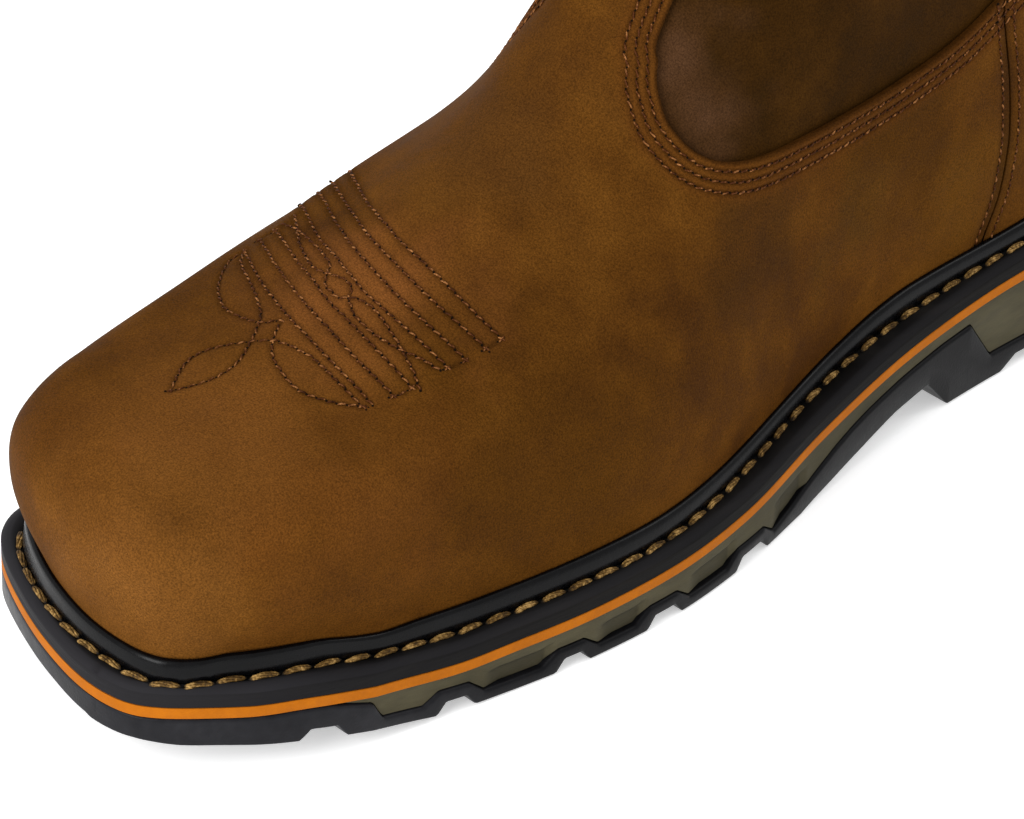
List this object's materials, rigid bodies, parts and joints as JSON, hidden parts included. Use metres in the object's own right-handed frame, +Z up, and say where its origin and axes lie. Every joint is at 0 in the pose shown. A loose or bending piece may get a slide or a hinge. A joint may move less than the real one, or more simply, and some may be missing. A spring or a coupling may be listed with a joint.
{
  "type": "pull-on safety boot",
  "caption": "Left pull-on leather safety boot with a broad toe, plain shaft, storm welt, orange midsole stripe and lugged rubber outsole with a low heel.",
  "frame": {"origin": "on the ground, under the centre of the boot's bounding box", "axes": "-Y towards the toe, +Y towards the heel, +X towards the outer side of the left foot, +Z up the shaft"},
  "size_m": [0.11, 0.312, 0.272],
  "materials": {
    "outsole": "black moulded rubber, satin",
    "midsole": "olive grey moulded foam rubber, matt",
    "midsole_stripe": "orange foam rubber layer with a trimmed edge",
    "welt": "black storm welt with a glossy bead",
    "insole": "dark fabric-covered cushion",
    "upper": "dark brown oiled leather",
    "vamp": "brown oiled leather with a fine nap"
  },
  "bodies": {
    "root": {"outsole": "outsole", "midsole": "midsole", "midsole_stripe": "midsole_stripe", "welt": "welt", "insole": "insole", "upper": "upper", "vamp": "vamp", "counter": "vamp"}
  },
  "joints": []
}
